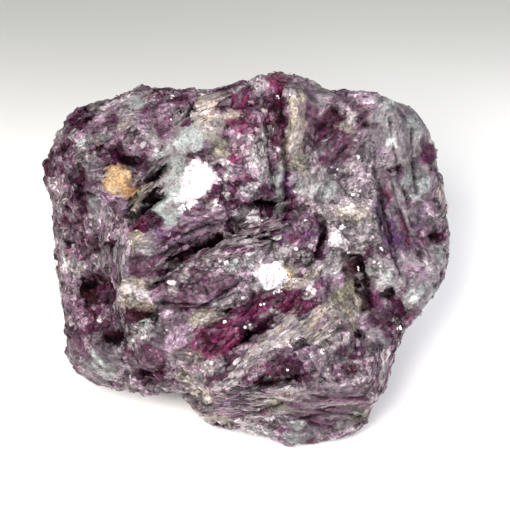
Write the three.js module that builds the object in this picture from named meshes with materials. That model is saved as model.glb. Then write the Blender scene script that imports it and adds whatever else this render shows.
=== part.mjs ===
// A hand-sized lump of rough lepidolite, the lilac lithium mica, grown through with quartz and
// bladed albite. It is one natural piece of rock: a broad broken face that leans back, ledges
// where the mica parts along its layers, a few pits where crystals have fallen out, and a worn
// underside that it rests on. Millimetres, +Z up, front towards -Y.
import * as THREE from "three";
import { mergeVertices } from "three/addons/utils/BufferGeometryUtils.js";

// Driving dimensions.
const HEIGHT_OF_CENTRE = 26; // from the resting surface up to the middle of the broad face
const FACE_LEAN = 50; // degrees that the broad face leans back from upright
const FACE_DEPTH = 16.5; // how far the broad face stands out in front of the lump's widest rim
const EDGE_SHARPNESS = 16; // how sharply two broken faces meet: higher is sharper
const RIM_SHARPNESS = 40; // the same where a face meets the rim
const MESH_DETAIL = 19; // subdivisions of the starting icosahedron
const FRONT_DETAIL = 0.3; // share of the mesh drawn round from the back to the broad face

// Directions of the broad face: across it, up it, and straight out of it.
const lean = THREE.MathUtils.degToRad(FACE_LEAN);
const ACROSS = new THREE.Vector3(1, 0, 0);
const UP = new THREE.Vector3(0, Math.sin(lean), Math.cos(lean));
const OUT = new THREE.Vector3(0, -Math.cos(lean), Math.sin(lean));
const fromFace = ([across, up, out]) =>
  new THREE.Vector3()
    .addScaledVector(ACROSS, across)
    .addScaledVector(UP, up)
    .addScaledVector(OUT, out)
    .normalize();

// The rim, seen square on to the broad face, as [across, up] from its middle, anticlockwise
// from the right. Each point is a corner of the broken outline.
const RIM = [
  [40, 0.5], [40, 4.8], [37.7, 13.5], [37.6, 21], [36.2, 26.8], [32.7, 32],
  [21.5, 32.4], [14, 33.2], [9.6, 37.4], [4.5, 38.6], [-0.4, 34.8], [-9, 33.6],
  [-17, 33.8], [-23, 35.3], [-29, 32.9], [-35, 31.2], [-38.8, 24.7], [-41, 19],
  [-39.8, 9], [-39.6, -3], [-37.9, -15], [-37.2, -22], [-31.8, -26],
  [-25.5, -27], [-19.5, -27.5], [-14.2, -25.6], [-10, -33], [0, -34.8],
  [11.3, -39], [17, -36.4], [22.2, -34.8], [24.6, -28.2], [27.6, -21],
  [31.6, -12.8], [35.6, -7.6],
];

// The broken faces of the front, each by its slope [across, up, out] and its distance from the
// middle of the lump.
const FRONT_FACES = [
  { slope: [0.06, 0.04, 1], distance: FACE_DEPTH },
  { slope: [0.75, 0.16, 0.65], distance: 32.5 }, // right
  { slope: [-0.82, -0.1, 0.58], distance: 33.5 }, // left
  { slope: [-0.35, 0.62, 0.7], distance: 35 }, // upper left corner
  { slope: [0.08, 0.85, 0.52], distance: 35.5 }, // top
  { slope: [0.15, -0.8, 0.6], distance: 31.5 }, // bottom
  { slope: [-0.3, -0.75, 0.6], distance: 28 }, // lower left
].map(({ slope, distance }) => ({ normal: fromFace(slope), distance }));

// The broken faces of the back, each by its slope [x, y, z] and its distance from the middle.
const BACK_FACES = [
  { slope: [0.08, 0.95, 0.3], distance: 38 },
  { slope: [-0.72, 0.64, 0.28], distance: 47 },
  { slope: [0.66, 0.72, 0.16], distance: 43 },
  { slope: [0.3, 0.62, 0.72], distance: 40.5 },
  { slope: [-0.28, 0.7, 0.66], distance: 41.5 },
  { slope: [0.93, 0.1, -0.36], distance: 38 },
  { slope: [-0.95, 0.02, -0.3], distance: 39.5 },
  { slope: [-0.2, 0.9, -0.38], distance: 44 },
].map(({ slope, distance }) => ({ normal: new THREE.Vector3(...slope).normalize(), distance }));

// Blocks that stand out of the broad face: middle, half length, half width, turn of the long
// side in degrees, and height.
const BLOCKS = [
  { at: [-11, 15], half: [15, 9], turn: 32, height: 4.2 },
  { at: [-7, -3.5], half: [12, 6], turn: 12, height: 3.2 },
  { at: [3.5, -22], half: [17, 5.5], turn: 32, height: 3.2 },
  { at: [8, 21], half: [3, 14], turn: 0, height: 2 },
  { at: [22, 6], half: [8, 7], turn: -20, height: 1.8 },
  { at: [-26.3, 15], half: [4, 4.5], turn: 0, height: 2.6 },
  { at: [-22, -21], half: [7, 5], turn: 20, height: 1.8 },
];

// Clefts between the blocks, each from one end to the other, with its half width and depth.
const CLEFTS = [
  { from: [-21, -2], to: [-9, 4.5], half: 2.4, depth: 2.4 },
  { from: [-9, 4.5], to: [7.5, 11.5], half: 2.4, depth: 2.8 },
  { from: [-27, 8.5], to: [-15.5, 17], half: 2.2, depth: 3.4 },
  { from: [-6, -14.5], to: [6, -8], half: 2.2, depth: 2.6 },
  { from: [-3, -21.5], to: [10, -13], half: 2, depth: 1.8 },
  { from: [-30, 8], to: [-29, -15], half: 2, depth: 1.8 },
  { from: [25.5, 26], to: [31, -9], half: 2.3, depth: 1.9 },
  { from: [11, 21], to: [9.5, 6], half: 2, depth: 1.7 },
];

// Pits where a crystal has fallen out: middle, half width, half height and depth.
const PITS = [
  { at: [-32, -6.8], half: [3.2, 4], depth: 5.2 },
  { at: [-26.5, 20], half: [4.4, 3], depth: 3.8 },
  { at: [16.5, 20.5], half: [4, 4.5], depth: 2.6 },
  { at: [18.5, -3.5], half: [3.7, 6.5], depth: 2.6 },
  { at: [-25, -15], half: [3.2, 3.2], depth: 2.4 },
  { at: [33, 14], half: [3, 5], depth: 1.6 },
  { at: [14, -18], half: [5, 3.5], depth: 2 },
];

// Roughness of the broken rock, coarse to fine. Swells roll gently; chips with a negative
// height are scooped out and meet in ridges, and those with a positive height are grains that
// stand out and meet in valleys.
const SWELLS = [
  { size: 14, height: 1.1 },
  { size: 3.6, height: 0.35 },
];
const CHIPS = [
  { size: 13, height: -3 },
  { size: 5, height: 1.1 },
];
const CHIP_TILT = 1.8; // how steeply a chip's face may tilt
const CHIP_ROUND = 0.9; // how strongly a chip's face is domed or dished
const RIM_SHARE = 0.35; // how much of that roughness reaches the rim, whose corners are listed

// The hollows between the worn flats that it rests on: their size, depth and share of the area.
const UNDERSIDE_HOLLOW = { size: 11, depth: 3, share: 0.15 };

// A repeatable number from 0 to 1 for each corner of a cubic lattice.
function latticeValue(i, j, k) {
  const mixed = Math.sin(i * 127.1 + j * 311.7 + k * 74.7) * 43758.5453;
  return mixed - Math.floor(mixed);
}

// Smooth noise from -1 to 1 that is random from one lattice corner to the next.
function noise(point, size) {
  const scaled = point.clone().divideScalar(size);
  const corner = scaled.clone().floor();
  const part = scaled.sub(corner);
  const ease = (t) => t * t * (3 - 2 * t);
  const weight = [ease(part.x), ease(part.y), ease(part.z)];
  let sum = 0;
  for (const dx of [0, 1])
    for (const dy of [0, 1])
      for (const dz of [0, 1]) {
        const share =
          (dx ? weight[0] : 1 - weight[0]) *
          (dy ? weight[1] : 1 - weight[1]) *
          (dz ? weight[2] : 1 - weight[2]);
        sum += share * latticeValue(corner.x + dx, corner.y + dy, corner.z + dz);
      }
  return 2 * sum - 1;
}

// Blocks with flat tilted tops, about 0 high: every scattered point carries a low tilted dome,
// and the surface is the upper envelope of them.
function chip(point, size) {
  const scaled = point.clone().divideScalar(size);
  const corner = scaled.clone().floor();
  let highest = -Infinity;
  for (let i = corner.x - 1; i <= corner.x + 1; i++)
    for (let j = corner.y - 1; j <= corner.y + 1; j++)
      for (let k = corner.z - 1; k <= corner.z + 1; k++) {
        const away = new THREE.Vector3(
          scaled.x - i - latticeValue(i, j, k),
          scaled.y - j - latticeValue(j, k, i + 17),
          scaled.z - k - latticeValue(k, i, j + 41),
        );
        const tilt = new THREE.Vector3(
          latticeValue(i + 5, j, k),
          latticeValue(i, j + 5, k),
          latticeValue(i, j, k + 5),
        ).subScalar(0.5);
        const dome = latticeValue(i + 9, j + 3, k) + CHIP_TILT * tilt.dot(away);
        highest = Math.max(highest, dome - CHIP_ROUND * away.lengthSq());
      }
  return highest - 0.5;
}

// Distance from the middle to the rim along a direction in the plane of the rim.
function rimDistance(across, up) {
  let best = Infinity;
  RIM.forEach(([x0, y0], i) => {
    const [x1, y1] = RIM[(i + 1) % RIM.length];
    const ex = x1 - x0;
    const ey = y1 - y0;
    const cross = across * ey - up * ex;
    const along = (x0 * ey - y0 * ex) / cross;
    const share = (x0 * up - y0 * across) / cross;
    if (along > 0 && share >= 0 && share <= 1) best = Math.min(best, along);
  });
  return best;
}

// Several flat faces met along one direction, as one face: the least distance wins, and corners
// between near-equal faces come out worn round. Returns the distance and the way it faces.
function wornFace(faces, sharpness) {
  const weights = faces.map(({ distance }) => distance ** -sharpness);
  const sum = weights.reduce((total, weight) => total + weight, 0);
  const normal = new THREE.Vector3();
  faces.forEach((face, i) => normal.addScaledVector(face.normal, weights[i] / sum));
  return { distance: sum ** (-1 / sharpness), normal: normal.normalize() };
}

// The flat faces of a list that a direction meets, with the distance to each.
function facesMet(faces, direction) {
  return faces
    .map(({ normal, distance }) => ({ normal, facing: normal.dot(direction), distance }))
    .filter(({ facing }) => facing > 0.02)
    .map(({ normal, facing, distance }) => ({ normal, distance: distance / facing }));
}

// 1 in the middle of a bump and 0 outside it, with a flat top and steep sides.
const plateau = (d) => 1 / (1 + d ** 4);

// Height of the broad face's own shapes, at a place on it: blocks less clefts and pits.
function faceRelief(x, y) {
  let height = 0;
  for (const { at, half, turn, height: rise } of BLOCKS) {
    const a = THREE.MathUtils.degToRad(turn);
    const dx = x - at[0];
    const dy = y - at[1];
    const along = (dx * Math.cos(a) + dy * Math.sin(a)) / half[0];
    const beside = (dy * Math.cos(a) - dx * Math.sin(a)) / half[1];
    height += rise * plateau(Math.hypot(along, beside));
  }
  for (const { from, to, half, depth } of CLEFTS) {
    const ex = to[0] - from[0];
    const ey = to[1] - from[1];
    const share = ((x - from[0]) * ex + (y - from[1]) * ey) / (ex * ex + ey * ey);
    const t = THREE.MathUtils.clamp(share, 0, 1);
    const away = Math.hypot(x - from[0] - t * ex, y - from[1] - t * ey);
    height -= depth * plateau(away / half);
  }
  for (const { at, half, depth } of PITS)
    height -= depth * plateau(Math.hypot((x - at[0]) / half[0], (y - at[1]) / half[1]));
  return height;
}

// The lump's surface in one direction from its middle: the broken faces and the rim give the
// lump's form, and the roughness and the broad face's own shapes stand out square to that.
function surfacePoint(direction) {
  const across = direction.dot(ACROSS);
  const up = direction.dot(UP);
  const out = direction.dot(OUT);
  const flat = Math.hypot(across, up);
  const broken = wornFace(facesMet([...FRONT_FACES, ...BACK_FACES], direction), EDGE_SHARPNESS);
  const rim = {
    distance: rimDistance(across / flat, up / flat) / flat,
    normal: fromFace([across / flat, up / flat, 0]),
  };
  const form = wornFace([broken, rim], RIM_SHARPNESS);
  const bottom = direction.z < 0 ? HEIGHT_OF_CENTRE / -direction.z : Infinity;
  const point = direction.clone().multiplyScalar(Math.min(form.distance, bottom));
  if (bottom < form.distance) {
    // Worn flat where the rock rests, with shallow hollows between the flats.
    const inFromEdge = THREE.MathUtils.smoothstep(form.distance - bottom, 0, 6);
    const hollow = Math.max(0, noise(point, UNDERSIDE_HOLLOW.size) + UNDERSIDE_HOLLOW.share);
    point.z += inFromEdge * UNDERSIDE_HOLLOW.depth * hollow;
    return point;
  }

  const fromRim = THREE.MathUtils.smoothstep(Math.abs(out), 0, 0.4);
  const fromFloor = THREE.MathUtils.smoothstep(point.z + HEIGHT_OF_CENTRE, 0, 4);
  const roughShare = fromFloor * (RIM_SHARE + (1 - RIM_SHARE) * fromRim);
  let height = 0;
  for (const swell of SWELLS) height += swell.height * noise(point, swell.size);
  for (const chips of CHIPS) height += chips.height * chip(point, chips.size);
  height *= roughShare;
  const facing = THREE.MathUtils.smoothstep(form.normal.dot(OUT), 0.35, 0.8);
  height += facing * faceRelief(point.dot(ACROSS), point.dot(UP));
  return point.addScaledVector(form.normal, height);
}

// The lump as one closed mesh, standing on Z = 0 with its box centred on X = Y = 0.
function rockGeometry() {
  const sphere = new THREE.IcosahedronGeometry(1, MESH_DETAIL);
  sphere.deleteAttribute("normal");
  sphere.deleteAttribute("uv");
  const rock = mergeVertices(sphere, 1e-5);
  const position = rock.getAttribute("position");
  for (let i = 0; i < position.count; i++) {
    const direction = new THREE.Vector3().fromBufferAttribute(position, i).normalize();
    direction.addScaledVector(OUT, FRONT_DETAIL).normalize();
    const point = surfacePoint(direction);
    position.setXYZ(i, point.x, point.y, point.z);
  }
  rock.computeBoundingBox();
  const middle = rock.boundingBox.getCenter(new THREE.Vector3());
  rock.translate(-middle.x, -middle.y, HEIGHT_OF_CENTRE);
  rock.computeVertexNormals();
  return rock;
}

const lepidolite = new THREE.MeshStandardMaterial({
  color: 0x8f7687,
  roughness: 0.45,
  metalness: 0,
});

const rock = new THREE.Mesh(rockGeometry(), lepidolite);
rock.name = "lepidolite_rock";

const part = new THREE.Group();
part.add(rock);

export default part;
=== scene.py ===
from itertools import product
from math import cos, radians, sin

import bpy
import numpy as np
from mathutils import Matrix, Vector, kdtree


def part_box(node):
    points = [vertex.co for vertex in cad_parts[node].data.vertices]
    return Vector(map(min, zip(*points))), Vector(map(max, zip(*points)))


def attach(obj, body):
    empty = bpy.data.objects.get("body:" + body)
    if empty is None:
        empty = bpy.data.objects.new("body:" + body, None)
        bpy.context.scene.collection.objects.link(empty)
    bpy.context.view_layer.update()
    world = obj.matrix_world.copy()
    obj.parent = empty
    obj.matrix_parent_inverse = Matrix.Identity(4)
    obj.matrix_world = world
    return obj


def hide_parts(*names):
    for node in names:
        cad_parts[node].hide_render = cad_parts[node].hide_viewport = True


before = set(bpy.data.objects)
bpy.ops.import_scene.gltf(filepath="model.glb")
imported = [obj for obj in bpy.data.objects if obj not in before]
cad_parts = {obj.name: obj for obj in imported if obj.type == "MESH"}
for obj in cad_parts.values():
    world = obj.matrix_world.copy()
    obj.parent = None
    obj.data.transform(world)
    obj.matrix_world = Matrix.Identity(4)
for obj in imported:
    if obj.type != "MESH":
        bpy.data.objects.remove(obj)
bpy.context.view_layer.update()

# --- The studio ------------------------------------------------------------------------------
# The lump rests on a white table top under soft studio light. It is seen through a long lens,
# square on to its broad broken face, which leans back by 50 degrees.
FACE_LEAN = radians(50)
ACROSS = Vector((1, 0, 0))
UP = Vector((0, sin(FACE_LEAN), cos(FACE_LEAN)))
OUT = Vector((0, -cos(FACE_LEAN), sin(FACE_LEAN)))
LENS = 0.200
SENSOR = 0.036
VIEW_WIDTH = 0.102  # what the picture takes in at the lump
VIEW_SHIFT = (0.0006, 0.0007)  # how far across and up from the face's middle the camera aims
low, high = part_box("lepidolite_rock")
size = high - low
FACE_MIDDLE = low + size * Vector((0.512, 0.431, 0.433))  # middle of the lump's widest rim


def linear(hex_colour):
    """An sRGB hex colour as linear red, green, blue and a full alpha."""
    parts = [int(hex_colour[i : i + 2], 16) / 255 for i in (0, 2, 4)]
    return [p / 12.92 if p <= 0.04045 else ((p + 0.055) / 1.055) ** 2.4 for p in parts] + [1]


def node(tree, kind, values=(), links=(), **settings):
    """Add a node with its settings, the values of its sockets and the sockets that feed it."""
    made = tree.nodes.new(kind)
    for name, value in settings.items():
        setattr(made, name, value)
    for socket, value in dict(values).items():
        made.inputs[socket].default_value = value
    for socket, source in dict(links).items():
        tree.links.new(source, made.inputs[socket])
    return made


def new_material(name):
    """An empty material and its node tree."""
    material = bpy.data.materials.new(name)
    material.use_nodes = True
    material.node_tree.nodes.clear()
    return material, material.node_tree


bpy.ops.object.select_all(action="DESELECT")
distance = VIEW_WIDTH * LENS / SENSOR
aim = FACE_MIDDLE + VIEW_SHIFT[0] * ACROSS + VIEW_SHIFT[1] * UP
bpy.ops.object.camera_add(location=aim + distance * OUT)
camera = bpy.context.object
camera.data.lens = LENS * 1000
camera.data.sensor_width = SENSOR * 1000
camera.rotation_euler = OUT.to_track_quat("Z", "Y").to_euler()
bpy.context.scene.camera = camera

bpy.ops.mesh.primitive_plane_add(size=4, location=(0, 0, 0))
table = bpy.context.object
table.name = "table_top"
# Graduated background card: white in front, shading to pale grey behind the lump.
table_paint, tree = new_material("graduated white card")
depth = node(
    tree, "ShaderNodeSeparateXYZ",
    links={0: node(tree, "ShaderNodeTexCoord").outputs["Object"]},
).outputs["Y"]
behind = node(
    tree, "ShaderNodeMapRange", {"From Min": 0.0, "From Max": 0.1}, {"Value": depth},
    interpolation_type="SMOOTHSTEP",
)
shades = node(tree, "ShaderNodeValToRGB", links={"Fac": behind.outputs["Result"]})
shades.color_ramp.elements[0].color = linear("f6f6f4")
shades.color_ramp.elements[1].color = linear("959693")
shader = node(
    tree, "ShaderNodeBsdfPrincipled", {"Roughness": 0.8}, {"Base Color": shades.outputs["Color"]}
)
node(tree, "ShaderNodeOutputMaterial", links={"Surface": shader.outputs[0]})
table.data.materials.append(table_paint)


def soft_box(name, place, width, watts, colour):
    """A square soft light of that width, turned to the lump."""
    bpy.ops.object.light_add(type="AREA", location=place)
    lamp = bpy.context.object
    lamp.name = name
    lamp.data.size = width
    lamp.data.energy = watts
    lamp.data.color = linear(colour)[:3]
    lamp.rotation_euler = (Vector(place) - FACE_MIDDLE).to_track_quat("Z", "Y").to_euler()


soft_box("key", (-0.3, -0.5, 0.9), 0.5, 15.3, "fffaf4")  # warm, from the upper left
soft_box("front_fill", (0.5, -0.8, 0.5), 0.7, 7, "f6f8ff")
soft_box("back_fill", (0.45, 0.5, 0.8), 0.9, 6, "f4f6ff")

world = bpy.data.worlds.new("studio")
bpy.context.scene.world = world
world.use_nodes = True
world.node_tree.nodes["Background"].inputs["Color"].default_value = linear("f3f4f8")
world.node_tree.nodes["Background"].inputs["Strength"].default_value = 0.42
bpy.context.scene.view_settings.view_transform = "Standard"

# --- The lump --------------------------------------------------------------------------------
# Lepidolite rock: a mass of small lilac mica books grown through with grey quartz and creamy
# bladed albite. It was broken out of a vein, so it has flat grain faces, ledges where mica
# parted, and dark gaps between the grains.
SEED = 7
BOOKS = 1100  # blocks of mica layers, about 4 mm across
GRAINS = 5200  # crystals in them, about 1.8 mm
FLECKS = 28000  # specks and splinters of the crystals, about 0.8 mm
rng = np.random.default_rng(SEED)
across, up, out = (np.array(v) for v in (ACROSS, UP, OUT))

# Colours of the minerals and of a near-black painted shadow, how rough each one's faces are
# and how strongly they shine.
MINERALS = {
    "lilac": ("776070", 0.32, 0.42),
    "mauve": ("472a3b", 0.35, 0.35),
    "plum": ("351028", 0.42, 0.18),
    "magenta": ("5b1c3b", 0.4, 0.25),
    "violet": ("4a2b4c", 0.4, 0.25),
    # The next colour is no mineral but near-black painted shadow, for clefts, hollows and the
    # undersides of ledges, with almost no shine.
    "night": ("0b0205", 0.5, 0.02),
    "burgundy": ("22060e", 0.45, 0.07),
    "grey": ("70676a", 0.36, 0.35),
    "blue-grey": ("868a88", 0.34, 0.4),
    "slate": ("3d323b", 0.42, 0.25),
    "white": ("9f9698", 0.32, 0.4),
    # The next colour, the pale grey of cleaved mica, is light enough to be partly painted
    # highlight.
    "silver": ("cbc0c7", 0.32, 0.3),
    "cream": ("867b6f", 0.5, 0.3),
    "olive": ("6a6558", 0.5, 0.25),
    "ochre": ("9c7650", 0.7, 0.1),
    "peach": ("9f876a", 0.7, 0.15),
    "smoke": ("221415", 0.4, 0.1),
}
MINERAL_NAMES = list(MINERALS)

# What each kind of rock is made of: shares of minerals, how many times longer than wide its
# grains are, how much they stand out, and how strongly fine fibres streak it.
ROCKS = {
    "common": ("lilac 3 mauve 4 plum 5 grey 5 white 1", 1.4, 0.85, 0.3),
    "granular": ("plum 7 mauve 3 lilac 3 burgundy 2 magenta 1 white 1", 1.2, 1.1, 0.1),
    "deep": ("plum 7 night 1 burgundy 3 mauve 2 lilac 1", 1.3, 1.1, 0.1),
    "pale": ("lilac 3 white 4 grey 5 blue-grey 1", 1.3, 0.65, 0.2),
    "pink": ("lilac 7 magenta 1 white 2 mauve 3", 1.3, 0.7, 0.2),
    "lilac": ("lilac 7 mauve 3 grey 2", 1.4, 0.5, 0.3),
    "mauve": ("mauve 7 plum 4 slate 1", 1.5, 0.55, 0.3),
    "magenta": ("magenta 8 plum 3 lilac 1", 2.4, 0.6, 0.5),
    "violet": ("violet 5 lilac 3 plum 2 magenta 1", 1.4, 0.6, 0.2),
    "slate": ("slate 5 violet 2 grey 4 lilac 1", 2.0, 0.5, 0.5),
    "burgundy": ("burgundy 6 night 2 plum 2", 1.2, 0.9, 0.1),
    # The next kind of rock is near-black painted shadow, for clefts, hollows and the undersides of
    # ledges.
    "night": ("night 9 burgundy 1", 1.6, 0.9, 0.3),
    "streaks": ("night 3 plum 2 mauve 2 grey 5 white 1", 4.5, 0.9, 0.9),
    "quartz": ("blue-grey 9 grey 2", 1.3, 0.25, 0.1),
    "cool": ("grey 6 blue-grey 3 slate 3", 1.5, 0.4, 0.4),
    "dusky": ("grey 5 blue-grey 2 slate 4 mauve 1", 1.5, 0.45, 0.3),
    # The next kind of rock lies under the silver cleavage plates; its pale colour is partly
    # painted highlight.
    "silver": ("silver 1", 1.3, 0.2, 0.0),
    "dome": ("mauve 7 lilac 1 grey 3 slate 3 plum 2", 1.6, 0.5, 0.3),
    "peppered": ("grey 4 white 1 plum 4 slate 3", 1.2, 0.9, 0.2),
    "speckle": ("grey 8 lilac 1 slate 3 white 2", 1.1, 0.8, 0.1),
    "albite": ("cream 6 white 2 grey 4", 1.8, 0.5, 0.3),
    "blades": ("cream 5 white 4 grey 5 lilac 1 slate 1", 5.5, 0.8, 1.0),
    "columns": ("grey 6 white 1 lilac 2 mauve 3 slate 1", 5.5, 0.9, 0.9),
    "layers": ("mauve 7 lilac 1 grey 2 plum 4", 6.0, 0.4, 0.8),
    "olive": ("olive 6 cream 2 grey 3", 1.8, 0.5, 0.4),
    "smoky": ("smoke 6 night 4 grey 1", 1.3, 0.9, 0.1),
    "ochre": ("ochre 6 peach 5", 1.1, 0.35, 0.0),
    "tan": ("peach 4 cream 3 ochre 1", 1.3, 0.4, 0.1),
    "blush": ("cream 6 lilac 1 mauve 2 grey 3 white 1", 1.6, 0.6, 0.3),
}
ROCK_NAMES = list(ROCKS)
STRETCH, RELIEF, FIBRE = (np.array([ROCKS[n][i] for n in ROCK_NAMES]) for i in (1, 2, 3))
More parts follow.
